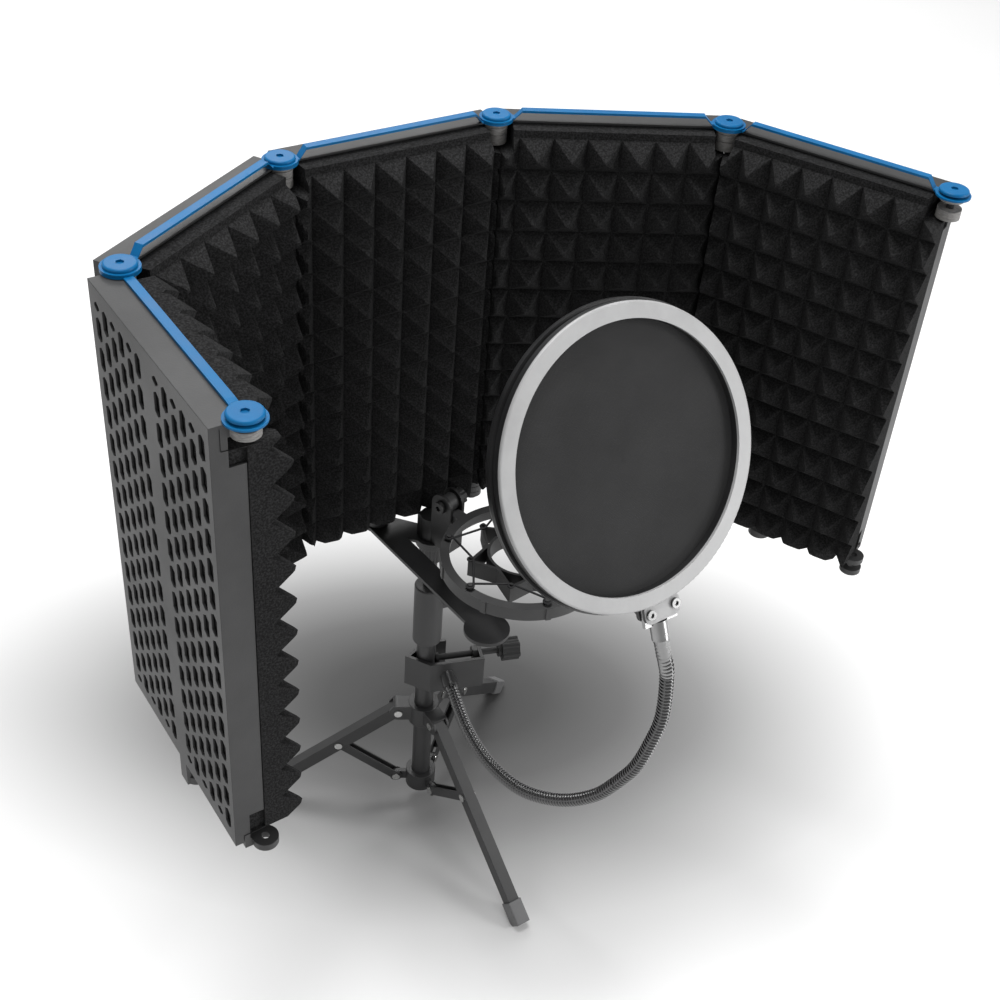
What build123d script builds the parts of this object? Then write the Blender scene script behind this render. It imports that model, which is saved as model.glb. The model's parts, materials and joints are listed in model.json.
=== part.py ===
"""Microphone isolation shield on a small tripod, with a pop filter and a shock mount.

Frame: millimetres, +Z up, the floor at z = 0. The microphone's place is inside the shield, the
panels stand behind it (+Y) and at its sides, and the singer stands in front of it (-Y).
"""

import os
from math import acos, cos, degrees, radians, sin, tan

from build123d import *

# ------------------------------------------------------------------ stand and shield, where they are
stand_x = -6.07                 # axis of the stand's column
stand_y = 79.7
eye_level = 328.0               # height of the bottom hinge eyes
column_from_shield = (30.0, -24.0)

# ------------------------------------------------------------------ shield panels
panel_count = 5
panel_pitch = 160.0             # from one hinge line to the next
panel_azimuths = (90.4, 31.7, 0.0, -28.0, -64.4)
centre_panel = 3
panel_gap = 0.6                 # from a hinge line to the tray's side
panel_bottom = 2.3              # heights from eye_level
panel_top = 309.3
tray_depth = 19.2
sheet = 1.5
slot_length = 16.0
slot_width = 7.4
slot_tip = 2.4
short_slot_length = 6.2         # at both ends of the columns that have a slot less
slot_row_pitch = 19.5
slot_column_pitch = 11.5
slot_rows = 15
slot_field_columns = 6
slot_field_centres = (38.6, 119.8)

# ------------------------------------------------------------------ hinge ears and their screws
ear_radius = 8.0
ear_hole = 2.55
shank = 2.5
ear_root = 13.0                 # how deep an ear reaches into the tray
ear_web = 9.0                   # where the web behind the ears starts
relief = 8.6
notch_depth = 9.5
tongues = ((301.3, 306.3), (-3.2, 1.8))
top_forks = ((306.6, 309.3), (294.3, 301.0))
bottom_forks = ((2.1, 6.6), (-8.0, -3.5))
disc_radius = 9.8
disc_bottom = 312.4
disc_thickness = 2.0
nut_radius = 5.0

# ------------------------------------------------------------------ link bars over the hinge screws
eye_radius = 11.5
eye_thickness = 1.2
odd_eye = 309.6
even_eye = 311.0
rail_bottom = 316.0
rail_thickness = 1.6
rail_width = 5.6
ramp_start = 12.0
ramp_end = 17.0

# ------------------------------------------------------------------ foam
foam_depth = 27.0               # tips in front of the hinge lines
foam_back = 17.4
foam_end_gap = 1.2
foam_side_gap = 2.4
foam_bottom = 4.1
foam_top = 307.5
foam_pocket = 9.7
largest_bends = (0.0, 60.0, 33.0, 29.3, 37.7, 0.0)

# ------------------------------------------------------------------ lugs and bracket under the panels
lug_reach = 10.5                # lug's hole, out from the hinge lines
lug_radius = 8.7
lug_hole = 3.05
lug_bottom = -17.0
lug_top = -11.0
bracket_top = -17.2
bracket_thickness = 3.0
bracket_width = 18.0
bracket_end_radius = 17.0
bracket_front = (12.0, -135.0)
arm_width = 20.0
pad_radius = 13.0
pad_hole = 5.0

# ------------------------------------------------------------------ column
tube_radius = 8.0
tube_bore = 6.9
tube_bottom = 27.0
tube_top = 230.0
inner_tube_radius = 5.5
inner_tube_bore = 4.4
inner_tube_bottom = 140.0
inner_tube_top = 300.0
guide_radius = 6.85
lock_bottom = 199.0
lock_top = 260.0
lock_radius = 12.0
lock_boss_azimuth = -10.0
lock_boss_reach = 15.0
lock_boss_level = 246.0
adaptor_bottom = 289.0
adaptor_radius = 9.6
adaptor_flange = 12.5
thread_radius = 4.8
thread_top = 322.0

# ------------------------------------------------------------------ tripod
leg_azimuths = (-88.0, 32.0, 152.0)
pivot_radius = 22.0
hub_level = 118.0
collar_level = 34.0
leg_angle = 39.4                # below the horizontal
foot_radius = 159.0
leg_width = 10.0
leg_height = 11.0
leg_wall = 1.2
brace_width = 7.0
brace_height = 8.0
brace_play = 3.0                # radius of the brace's eye at the collar
rivet_radius = 2.0
rivet_hole = 2.05
rivet_head = 3.4
rivet_head_height = 1.1
hub_radius = 13.0
hub_bore = 8.06
hub_bottom = 106.0
hub_top = 126.0
hub_cheek_gap = 10.4
hub_cheek = 2.0
cap_length = 20.0
cap_width = 13.0
cap_height = 14.0

# ------------------------------------------------------------------ pop filter's clamp
clamp_azimuth = -18.0
clamp_bottom = 151.0
clamp_top = 182.0
clamp_strap = 3.0
clamp_length = 44.0
clamp_half_width = 12.0
clamp_screw_level = 176.0
clamp_screw_radius = 2.8
clamp_knob_start = 65.0
clamp_knob_length = 15.0

# ------------------------------------------------------------------ gooseneck, from the shield's origin
neck_radius = 5.0
neck_socket_radius = 6.5
neck_start = (40.6, -41.0, -159.5)
neck_low_points = ((37.0, -62.0, -168.5), (28.5, -112.0, -177.0), (28.5, -158.0, -173.5))
neck_low_radii = (40.0, 90.0, 70.0)
neck_bend = (36.8, -197.2, -155.1)
neck_high_points = ((52.5, -239.0, -118.0), (63.5, -263.0, -72.0), (70.5, -272.5, -10.0))
neck_high_radii = (60.0, 90.0, 90.0)
neck_tilt = (68.2, -269.2, 27.4)
neck_joint_gap = 5.3

# ------------------------------------------------------------------ pop filter
filter_centre = (56.0, -217.0, 175.0)
filter_normal = (0.042, -0.909, 0.415)
filter_radius = 100.0
filter_inner = 89.0
front_ring_back = -7.5
mesh_front = -7.6
mesh_back = -8.4
mesh_radius = 94.0
rear_ring_front = -8.5
rear_ring_back = -16.0
rear_ring_extra = 1.8           # wider than the front ring
tab_centre = 6.0
tab_width = 29.0
tab_bottom = -112.4
tab_rounding = 5.0
filter_screws_at = ((-4.4, -105.6), (16.5, -104.4))
ferrule_x = 4.5
ferrule_radius = 6.2
ferrule_bottom = -127.0
plate_front = -5.1
plate_back = -8.4

# ------------------------------------------------------------------ shock mount
mount_azimuth = -74.9
mount_block_back = -9.0         # distances along mount_azimuth from the column's axis
mount_block_front = 25.0
mount_block_top = 332.0
mount_width = 15.0
mount_gap = 10.0
tilt_reach = 15.5
tilt_level = 352.0
tilt_plate_radius = 10.0
ring_reach = 92.2
ring_radius = 61.0
ring_inner = 57.0
ring_bottom = 338.0
ring_top = 348.5
cradle_bottom = 336.0
cradle_top = 350.0
cradle_bore = 24.0
cradle_wall = 2.2
cradle_lobes = 6
lobe_radius = 42.0
cradle_peg_reach = 40.0
cradle_peg_radius = 1.2
ring_peg_reach = 56.2
ring_peg_radius = 1.6
cord_radius = 0.9


def level(plane, height):
    """The same plane, moved along its own normal."""
    return plane.offset(height)


def heading(azimuth):
    return Vector(cos(radians(azimuth)), sin(radians(azimuth)), 0)


column = Vector(stand_x, stand_y, 0)
shield_origin = Vector(stand_x - column_from_shield[0], stand_y - column_from_shield[1], eye_level)


def from_shield(point):
    return shield_origin + Vector(*point)


def hinge_points():
    """The six hinge lines at eye level, from the left end of the shield to its right end."""
    middle_left = shield_origin - heading(panel_azimuths[2]) * (panel_pitch / 2)
    points = [middle_left]
    for azimuth in (panel_azimuths[1], panel_azimuths[0]):
        points.insert(0, points[0] - heading(azimuth) * panel_pitch)
    for azimuth in panel_azimuths[2:]:
        points.append(points[-1] + heading(azimuth) * panel_pitch)
    return points


hinges = hinge_points()


def plan_of_panel(number):
    """Horizontal plane at eye level: x along the panel from its left hinge line, y outward."""
    return Plane(origin=hinges[number - 1], x_dir=heading(panel_azimuths[number - 1]), z_dir=(0, 0, 1))


def face_of_panel(number, depth):
    """Upright plane along the panel: x along it, y up, and its normal points to the microphone."""
    azimuth = panel_azimuths[number - 1]
    outward = heading(azimuth + 90)
    origin = hinges[number - 1] + outward * depth
    return Plane(origin=origin, x_dir=heading(azimuth), z_dir=-outward)


def side_of_panel(number, along):
    """Upright plane across the panel: x outward, y up, and its normal runs along the panel."""
    azimuth = panel_azimuths[number - 1]
    origin = hinges[number - 1] + heading(azimuth) * along
    return Plane(origin=origin, x_dir=heading(azimuth + 90), z_dir=heading(azimuth))


def slot_centres():
    """Two fields of staggered slots with a plain band between them: the full slots and the short ones."""
    middle = (panel_bottom + panel_top) / 2
    reach = (slot_rows - 1) / 2 * slot_row_pitch + (slot_length - short_slot_length) / 2
    full = []
    short = []
    for field in slot_field_centres:
        for column_number in range(slot_field_columns):
            along = field + (column_number - (slot_field_columns - 1) / 2) * slot_column_pitch
            rows = slot_rows - column_number % 2
            for row in range(rows):
                full.append((along, middle + (row - (rows - 1) / 2) * slot_row_pitch))
            if rows < slot_rows:
                short += [(along, middle - reach), (along, middle + reach)]
    return full, short


def slot_outline(length):
    """A slot with pointed ends, in the sketch that is open."""
    Polygon(
        (0, length / 2),
        (-slot_width / 2, length / 2 - slot_tip),
        (-slot_width / 2, slot_tip - length / 2),
        (0, -length / 2),
        (slot_width / 2, slot_tip - length / 2),
        (slot_width / 2, length / 2 - slot_tip),
    )


def box_sketch(x_low, x_high, y_low, y_high, mode=Mode.ADD):
    """A rectangle between four limits, in the sketch that is open."""
    with Locations(((x_low + x_high) / 2, (y_low + y_high) / 2)):
        Rectangle(x_high - x_low, y_high - y_low, mode=mode)


def make_shell(number):
    """A bent steel tray: slotted outer face, four flanges, hinge ears and the lug below."""
    plan = plan_of_panel(number)
    right = panel_pitch - panel_gap
    with BuildPart() as shell:
        with BuildSketch(face_of_panel(number, tray_depth)):
            box_sketch(panel_gap, right, panel_bottom, panel_top)
        extrude(amount=sheet)
        for height in (panel_bottom, panel_top - sheet):
            with BuildSketch(level(plan, height)):
                box_sketch(panel_gap, right, 0, tray_depth)
                Circle(relief, mode=Mode.SUBTRACT)
            extrude(amount=sheet)
        for along in (panel_gap, right - sheet):
            with BuildSketch(side_of_panel(number, along)):
                box_sketch(0, tray_depth, panel_bottom, panel_top)
                box_sketch(-1, notch_depth, 283, panel_top + 1, mode=Mode.SUBTRACT)
                box_sketch(-1, notch_depth, panel_bottom - 1, 25, mode=Mode.SUBTRACT)
            extrude(amount=sheet)
        # tongues at the left hinge line
        for low, high in tongues:
            with BuildSketch(level(plan, low)):
                Circle(ear_radius)
                box_sketch(panel_gap, ear_radius, 0, ear_root)
                Circle(ear_hole, mode=Mode.SUBTRACT)
            extrude(amount=high - low)
        for low, high in ((tongues[0][0], panel_top), (tongues[1][0], panel_bottom + sheet)):
            with BuildSketch(level(plan, low)):
                box_sketch(panel_gap, ear_radius, ear_web, ear_root)
            extrude(amount=high - low)
        # forks at the right hinge line
        for low, high in top_forks + bottom_forks:
            with BuildSketch(level(plan, low)):
                with Locations((panel_pitch, 0)):
                    Circle(ear_radius)
                box_sketch(panel_pitch - ear_radius, right, 0, ear_root)
            extrude(amount=high - low)
        for low, high in ((top_forks[1][0], panel_top), (bottom_forks[1][0], bottom_forks[0][1])):
            with BuildSketch(level(plan, low)):
                box_sketch(panel_pitch - ear_radius, right, ear_web, ear_root)
            extrude(amount=high - low)
        # lug below the middle
        with BuildSketch(level(plan, lug_bottom)):
            with Locations((panel_pitch / 2, lug_reach)):
                Circle(lug_radius)
                Circle(lug_hole, mode=Mode.SUBTRACT)
        extrude(amount=lug_top - lug_bottom)
        with BuildSketch(level(plan, lug_bottom)):
            box_sketch(panel_pitch / 2 - 5, panel_pitch / 2 + 5, tray_depth - 3, tray_depth)
        extrude(amount=panel_bottom + sheet - lug_bottom)
        full, short = slot_centres()
        with BuildSketch(face_of_panel(number, tray_depth)):
            with Locations(*full):
                slot_outline(slot_length)
            with Locations(*short):
                slot_outline(short_slot_length)
        extrude(amount=sheet, mode=Mode.SUBTRACT)
        # the fork's hole also passes through the flanges
        with BuildSketch(level(plan, bottom_forks[1][0] - 1)):
            with Locations((panel_pitch, 0)):
                Circle(ear_hole)
        extrude(amount=panel_top + 2 - bottom_forks[1][0], mode=Mode.SUBTRACT)
    return shell


def make_foam(number):
    """The foam block of a panel, bevelled at the hinges so that neighbours clear when folded."""
    plan = plan_of_panel(number)
    left_lean = foam_depth * tan(radians(largest_bends[number - 1] / 2))
    right_lean = foam_depth * tan(radians(largest_bends[number] / 2))
    with BuildPart() as foam:
        with BuildSketch(level(plan, foam_bottom)):
            with BuildLine():
                Polyline(
                    (foam_side_gap, foam_back),
                    (foam_side_gap, -0.4),
                    (foam_end_gap, -0.4),
                    (foam_end_gap + left_lean, -foam_depth),
                    (panel_pitch - foam_end_gap - right_lean, -foam_depth),
                    (panel_pitch - foam_end_gap, -0.4),
                    (panel_pitch - foam_side_gap, -0.4),
                    (panel_pitch - foam_side_gap, foam_back),
                    close=True,
                )
            make_face()
        extrude(amount=foam_top - foam_bottom)
        for low, high in ((foam_bottom, 10.0), (291.0, foam_top)):
            with BuildSketch(level(plan, low)):
                box_sketch(0, foam_pocket, -foam_pocket, ear_root + 0.5)
                box_sketch(panel_pitch - foam_pocket, panel_pitch, -foam_pocket, ear_root + 0.5)
            extrude(amount=high - low, mode=Mode.SUBTRACT)
    return foam


def make_link_bar(number):
    """A strap between two hinge screws, raised between its eyes, except the flat first one."""
    plan = plan_of_panel(number)
    eye_bottom = odd_eye if number % 2 else even_eye
    eye_top = eye_bottom + eye_thickness
    rail = eye_bottom if number == 1 else rail_bottom
    rail_top = rail + rail_thickness
    far = panel_pitch
    with BuildPart() as bar:
        with BuildSketch(face_of_panel(number, 0)):
            with BuildLine():
                Polyline(
                    (0, eye_bottom),
                    (ramp_start, eye_bottom),
                    (ramp_end, rail),
                    (far - ramp_end, rail),
                    (far - ramp_start, eye_bottom),
                    (far, eye_bottom),
                    (far, eye_top),
                    (far - ramp_start - 0.5, eye_top),
                    (far - ramp_end - 0.5, rail_top),
                    (ramp_end + 0.5, rail_top),
                    (ramp_start + 0.5, eye_top),
                    (0, eye_top),
                    close=True,
                )
            make_face()
        extrude(amount=rail_width / 2, both=True)
        with BuildSketch(level(plan, eye_bottom)):
            with Locations((0, 0), (far, 0)):
                Circle(eye_radius)
        extrude(amount=eye_thickness)
        with BuildSketch(level(plan, eye_bottom - 1)):
            with Locations((0, 0), (far, 0)):
                Circle(ear_hole)
        extrude(amount=eye_thickness + 2, mode=Mode.SUBTRACT)
    return bar


def make_hinge_screws(number):
    """The screws of a hinge line; the first group also holds the screw of the free left end."""
    places = [hinges[number]]
    if number == 1:
        places.insert(0, hinges[0])
    with BuildPart() as screws:
        for place in places:
            at_end = place in (hinges[0], hinges[panel_count])
            base = Plane(origin=place, x_dir=(1, 0, 0), z_dir=(0, 0, 1))
            shank_end = tongues[0][0] - 0.8 if place == hinges[0] else top_forks[1][0]
            with BuildSketch(level(base, shank_end)):
                Circle(shank)
            extrude(amount=disc_bottom - shank_end)
            with BuildSketch(level(base, disc_bottom)):
                Circle(disc_radius)
            extrude(amount=disc_thickness)
            rim = screws.edges(Select.LAST).filter_by(GeomType.CIRCLE).group_by(Axis.Z)[-1]
            fillet(rim, radius=1.3)
            with BuildSketch(level(base, disc_bottom + disc_thickness)):
                RegularPolygon(radius=2.6, side_count=6)
            extrude(amount=-1.3, mode=Mode.SUBTRACT)
            if at_end:
                # a thick collar takes the place of the missing bar's eye
                with BuildSketch(level(base, even_eye)):
                    Circle(6.0)
                extrude(amount=disc_bottom - even_eye)
            if place == hinges[0]:
                # a loose ring takes the place of the missing fork
                with BuildSketch(level(base, top_forks[0][0])):
                    Circle(ear_radius)
                    Circle(ear_hole, mode=Mode.SUBTRACT)
                extrude(amount=odd_eye - 0.2 - top_forks[0][0])
            if not at_end:
                with BuildSketch(level(base, bottom_forks[1][0])):
                    Circle(shank)
                extrude(amount=bottom_forks[0][1] - bottom_forks[1][0])
                with BuildSketch(level(base, bottom_forks[1][0])):
                    Circle(nut_radius)
                extrude(amount=-3.0)
    return screws


def make_support_bar():
    """The flat bracket under the shield: a bar to the front and a short arm to the column."""
    floor_plane = Plane(origin=shield_origin, x_dir=(1, 0, 0), z_dir=(0, 0, 1))
    front = Vector(*bracket_front)
    bolt = Vector(0, lug_reach)
    run = front - bolt
    bar_angle = degrees(acos(run.X / run.length))
    pad = Vector(*column_from_shield)
    reach = pad - bolt
    arm_angle = degrees(acos(reach.X / reach.length))
    with BuildPart() as bar:
        with BuildSketch(level(floor_plane, bracket_top - bracket_thickness)):
            with Locations(Location(((bolt + front) / 2), (0, 0, -bar_angle))):
                Rectangle(run.length, bracket_width)
            with Locations(Location(((bolt + pad) / 2), (0, 0, -arm_angle))):
                Rectangle(reach.length, arm_width)
            with Locations(bolt):
                Circle(bracket_width / 2 + 1)
            with Locations(front):
                Circle(bracket_end_radius)
            with Locations(pad):
                Circle(pad_radius)
                Circle(pad_hole, mode=Mode.SUBTRACT)
            with Locations(bolt):
                Circle(lug_hole, mode=Mode.SUBTRACT)
        extrude(amount=bracket_thickness)
    return bar


def make_support_bolt():
    base = Plane(origin=shield_origin + Vector(0, lug_reach, 0), x_dir=(1, 0, 0), z_dir=(0, 0, 1))
    under = bracket_top - bracket_thickness
    with BuildPart() as bolt:
        with BuildSketch(level(base, under - 5.0)):
            Circle(3.0)
        extrude(amount=lug_top + 0.1 - under + 5.0)
        with BuildSketch(level(base, lug_top + 0.1)):
            Circle(5.2)
            RegularPolygon(radius=2.6, side_count=6, mode=Mode.SUBTRACT)
        extrude(amount=3.5)
        with BuildSketch(level(base, lug_top + 0.1)):
            Circle(3.0)
        extrude(amount=1.5)
        with BuildSketch(level(base, under - 0.1)):
            RegularPolygon(radius=5.6, side_count=6)
        extrude(amount=-4.0)
    return bolt


def column_plane(height):
    return Plane(origin=(stand_x, stand_y, height), x_dir=(1, 0, 0), z_dir=(0, 0, 1))


def ring_part(bottom, top, outer, inner):
    """A plain tube on the column's axis, added to the part that is open."""
    with BuildSketch(column_plane(bottom)) as section:
        Circle(outer)
        Circle(inner, mode=Mode.SUBTRACT)
    extrude(section.sketch, amount=top - bottom)


def make_lower_tube():
    with BuildPart() as tube:
        ring_part(tube_bottom, tube_top, tube_radius, tube_bore)
    return tube


def make_upper_tube():
    """The inner tube with the guide plug that slides inside the lower tube."""
    with BuildPart() as tube:
        ring_part(inner_tube_bottom, inner_tube_top, inner_tube_radius, inner_tube_bore)
        ring_part(inner_tube_bottom, inner_tube_bottom + 12, guide_radius, inner_tube_bore)
    return tube


def make_thread_adaptor():
    with BuildPart() as adaptor:
        ring_part(adaptor_bottom, inner_tube_top, adaptor_radius, inner_tube_radius + 0.03)
        with BuildSketch(column_plane(inner_tube_top)):
            Circle(adaptor_radius)
        extrude(amount=4.0)
        with BuildSketch(column_plane(adaptor_bottom + 2)):
            with PolarLocations(adaptor_radius + 0.3, 20):
                Circle(0.8)
        extrude(amount=12.0, mode=Mode.SUBTRACT)
        flange_bottom = inner_tube_top + 4.0
        flange_top = eye_level + bracket_top - bracket_thickness - 0.1
        with BuildSketch(column_plane(flange_bottom)):
            Circle(adaptor_flange)
        extrude(amount=flange_top - flange_bottom)
        with BuildSketch(column_plane(flange_top)):
            Circle(thread_radius)
        extrude(amount=thread_top - flange_top)
    return adaptor


def lock_boss_plane():
    """Upright plane through the lock's boss: x outward, y up, its normal along the lock screw."""
    outward = heading(lock_boss_azimuth)
    origin = column + outward * lock_boss_reach + Vector(0, 0, lock_boss_level)
    return Plane(origin=origin, x_dir=outward, z_dir=heading(lock_boss_azimuth - 90))


def make_height_lock_collar():
    """A split collar: it holds the lower tube and pinches the upper one."""
    boss = lock_boss_plane()
    outward = heading(lock_boss_azimuth)
    slit = Plane(
        origin=(stand_x, stand_y, tube_top + 2), x_dir=outward, z_dir=(0, 0, 1)
    )
    with BuildPart() as collar:
        with BuildSketch(column_plane(lock_bottom)):
            Circle(lock_radius)
        extrude(amount=lock_top - lock_bottom)
        fillet(collar.edges().group_by(Axis.Z)[0], radius=3.0)
        fillet(collar.edges().group_by(Axis.Z)[-1], radius=1.5)
        with BuildSketch(boss):
            box_sketch(-6, 3, -10, 10)
        extrude(amount=6.5, both=True)
        with BuildSketch(column_plane(lock_bottom)):
            Circle(tube_radius + 0.03)
        extrude(amount=tube_top - lock_bottom + 0.5, mode=Mode.SUBTRACT)
        with BuildSketch(column_plane(lock_bottom)):
            Circle(inner_tube_radius + 0.06)
        extrude(amount=lock_top - lock_bottom, mode=Mode.SUBTRACT)
        with BuildSketch(slit):
            box_sketch(inner_tube_radius, lock_boss_reach + 4, -0.8, 0.8)
        extrude(amount=lock_top - tube_top, mode=Mode.SUBTRACT)
        with BuildSketch(boss):
            Circle(2.55)
        extrude(amount=8, both=True, mode=Mode.SUBTRACT)
    return collar


def make_height_lock_screw():
    """The pinch screw with its small knob behind the collar."""
    boss = lock_boss_plane()
    with BuildPart() as screw:
        with BuildSketch(level(boss, -9.2)):
            Circle(2.5)
        extrude(amount=16.2)
        with BuildSketch(level(boss, 6.8)):
            Circle(4.5)
        extrude(amount=2.5)
        with BuildSketch(level(boss, -9.2)):
            Circle(7.0)
            with PolarLocations(7.6, 6):
                Circle(1.7, mode=Mode.SUBTRACT)
        extrude(amount=-9.0)
    return screw


def upright_plane(azimuth, origin):
    """Upright plane with x along the azimuth and y up; its normal points along azimuth - 90."""
    return Plane(origin=origin, x_dir=heading(azimuth), z_dir=heading(azimuth - 90))


def slope_plane(azimuth, angle, origin):
    """Upright plane whose x runs along the azimuth and down by the angle; y is square to it."""
    forward = heading(azimuth) * cos(radians(angle)) - Vector(0, 0, sin(radians(angle)))
    return Plane(origin=origin, x_dir=forward, z_dir=heading(azimuth - 90))


def pivot_at(azimuth, height):
    return column + heading(azimuth) * pivot_radius + Vector(0, 0, height)


def make_end_collar():
    """The fixed collar at the foot of the column, with a tongue for each brace."""
    with BuildPart() as collar:
        ring_part(tube_bottom - 2, 42, hub_radius, tube_radius + 0.03)
        with BuildSketch(column_plane(tube_bottom - 2)):
            Circle(hub_radius - 2)
        extrude(amount=1.8)
        for azimuth in leg_azimuths:
            with BuildSketch(upright_plane(azimuth, pivot_at(azimuth, collar_level))):
                Circle(4.5)
                box_sketch(hub_radius - 3 - pivot_radius, 0, -4.5, 4.5)
                Circle(rivet_hole, mode=Mode.SUBTRACT)
            extrude(amount=2.0, both=True)
    return collar


def make_rivets(height, width):
    """Three rivets round the column, across the pivots at the given height."""
    with BuildPart() as rivets:
        for azimuth in leg_azimuths:
            side = upright_plane(azimuth, pivot_at(azimuth, height))
            with BuildSketch(side):
                Circle(rivet_radius)
            extrude(amount=width / 2 + 0.2, both=True)
            for end in (1, -1):
                with BuildSketch(level(side, end * (width / 2 + 0.15))):
                    Circle(rivet_head)
                extrude(amount=end * rivet_head_height)
    return rivets


def make_leg_hub():
    """The sliding hub: a sleeve with three forked arms that hold the tops of the legs."""
    outer_half = hub_cheek_gap / 2 + hub_cheek
    with BuildPart() as hub:
        with BuildSketch(column_plane(hub_bottom)):
            Circle(hub_radius)
        extrude(amount=hub_top - hub_bottom)
        for azimuth in leg_azimuths:
            side = upright_plane(azimuth, pivot_at(azimuth, hub_level))
            with BuildSketch(side):
                Circle(7.6)
                box_sketch(hub_radius - 3 - pivot_radius, 0, -7.6, 7.6)
            extrude(amount=outer_half, both=True)
        for azimuth in leg_azimuths:
            side = upright_plane(azimuth, pivot_at(azimuth, hub_level))
            with BuildSketch(side):
                Circle(6.3)
                box_sketch(0, 12, -12, 6.3)
                box_sketch(-6.3, 0, -12, 0)
            extrude(amount=hub_cheek_gap / 2, both=True, mode=Mode.SUBTRACT)
            with BuildSketch(side):
                Circle(rivet_hole)
            extrude(amount=outer_half + 1, both=True, mode=Mode.SUBTRACT)
        with BuildSketch(column_plane(hub_bottom)):
            Circle(hub_bore)
        extrude(amount=hub_top - hub_bottom, mode=Mode.SUBTRACT)
    return hub


leg_length = (foot_radius - pivot_radius) / cos(radians(leg_angle))
brace_length = (hub_level - collar_level) / 2 / sin(radians(leg_angle))


def middle_pivot(azimuth):
    """The pivot where a brace meets its leg."""
    slope = slope_plane(azimuth, leg_angle, pivot_at(azimuth, hub_level))
    return slope.origin + slope.x_dir * brace_length


def make_leg(azimuth):
    """A leg of channel section, open below."""
    slope = slope_plane(azimuth, leg_angle, pivot_at(azimuth, hub_level))
    half = leg_height / 2
    with BuildPart() as leg:
        with BuildSketch(slope):
            Circle(half)
            box_sketch(0, leg_length, -half, half)
        extrude(amount=leg_width / 2, both=True)
        with BuildSketch(slope):
            box_sketch(-leg_height, leg_length + 1, -leg_height, half - leg_wall)
        extrude(amount=leg_width / 2 - leg_wall, both=True, mode=Mode.SUBTRACT)
        with BuildSketch(slope):
            with Locations((0, 0), (brace_length, 0)):
                Circle(rivet_hole)
        extrude(amount=leg_width, both=True, mode=Mode.SUBTRACT)
    return leg


def make_foot_cap(azimuth):
    """The plastic boot at the end of a leg, flat where it stands on the floor."""
    slope = slope_plane(azimuth, leg_angle, pivot_at(azimuth, hub_level))
    with BuildPart() as cap:
        with BuildSketch(slope):
            box_sketch(
                leg_length + 4 - cap_length, leg_length + 4, -cap_height / 2, cap_height / 2
            )
        extrude(amount=cap_width / 2, both=True)
        fillet(cap.edges().filter_by(Axis(slope.origin, slope.x_dir)), radius=1.5)
        with BuildSketch(slope):
            box_sketch(leg_length - cap_length, leg_length + 0.1, -5.55, 5.55)
        extrude(amount=leg_width / 2 + 0.05, both=True, mode=Mode.SUBTRACT)
        split(bisect_by=Plane.XY, keep=Keep.TOP)
    return cap


def make_leg_rivet(azimuth):
    side = upright_plane(azimuth, middle_pivot(azimuth))
    with BuildPart() as rivet:
        with BuildSketch(side):
            Circle(rivet_radius)
        extrude(amount=leg_width / 2 + 0.2, both=True)
        for end in (1, -1):
            with BuildSketch(level(side, end * (leg_width / 2 + 0.15))):
                Circle(rivet_head)
            extrude(amount=end * rivet_head_height)
    return rivet


def make_brace(azimuth):
    """A brace of channel section, open above, from its leg down to the end collar."""
    slope = slope_plane(azimuth + 180, leg_angle, middle_pivot(azimuth))
    half = brace_height / 2
    eye = 5.2
    with BuildPart() as brace:
        with BuildSketch(slope):
            Circle(half)
            box_sketch(0, brace_length, -half, half)
            with Locations((brace_length, 0)):
                Circle(eye)
        extrude(amount=brace_width / 2, both=True)
        with BuildSketch(slope):
            box_sketch(-brace_height, brace_length + 8, leg_wall - half, brace_height)
            box_sketch(brace_length - 9, brace_length + 8, -brace_height, brace_height)
            box_sketch(-brace_height, 3, -brace_height, brace_height)
        extrude(amount=brace_width / 2 - leg_wall, both=True, mode=Mode.SUBTRACT)
        with BuildSketch(slope):
            Circle(rivet_hole)
            with Locations((brace_length, 0)):
                Circle(brace_play)
        extrude(amount=brace_width, both=True, mode=Mode.SUBTRACT)
    return brace


def make_filter_clamp():
    """The bent strap that hooks round the column, with the neck's socket and the jam nut."""
    plan = Plane(
        origin=(stand_x, stand_y, clamp_bottom), x_dir=heading(clamp_azimuth), z_dir=(0, 0, 1)
    )
    inside = (
        (clamp_length + clamp_strap, -clamp_half_width),
        (2, -clamp_half_width),
        (-13, 0),
        (2, clamp_half_width),
        (20, clamp_half_width),
    )
    along_screw = Plane(
        origin=column + heading(clamp_azimuth) * clamp_length + Vector(0, 0, clamp_screw_level),
        x_dir=heading(clamp_azimuth - 90),
        z_dir=heading(clamp_azimuth),
    )
    socket_axis = from_shield(neck_low_points[0]) - from_shield(neck_start)
    socket = Plane(origin=from_shield(neck_start), z_dir=socket_axis)
    with BuildPart() as clamp:
        with BuildSketch(plan):
            with BuildLine() as course:
                Polyline(*inside)
                offset(amount=clamp_strap, side=Side.LEFT, kind=Kind.INTERSECTION)
            make_face()
            box_sketch(clamp_length, clamp_length + clamp_strap, -clamp_half_width - clamp_strap, 8)
        extrude(amount=clamp_top - clamp_bottom)
        with BuildSketch(along_screw):
            RegularPolygon(radius=6.5, side_count=6)
        extrude(amount=-4.5)
        with BuildSketch(along_screw):
            box_sketch(-1.5, 1.5, 4, 20)
        extrude(amount=-3.0)
        with BuildSketch(along_screw.offset(-6)):
            Circle(clamp_screw_radius + 0.05)
        extrude(amount=12, mode=Mode.SUBTRACT)
        with BuildSketch(level(socket, -5)):
            Circle(neck_socket_radius)
        extrude(amount=17)
        with BuildSketch(level(socket, -6)):
            Circle(neck_radius)
        extrude(amount=30, mode=Mode.SUBTRACT)
    return clamp


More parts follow.
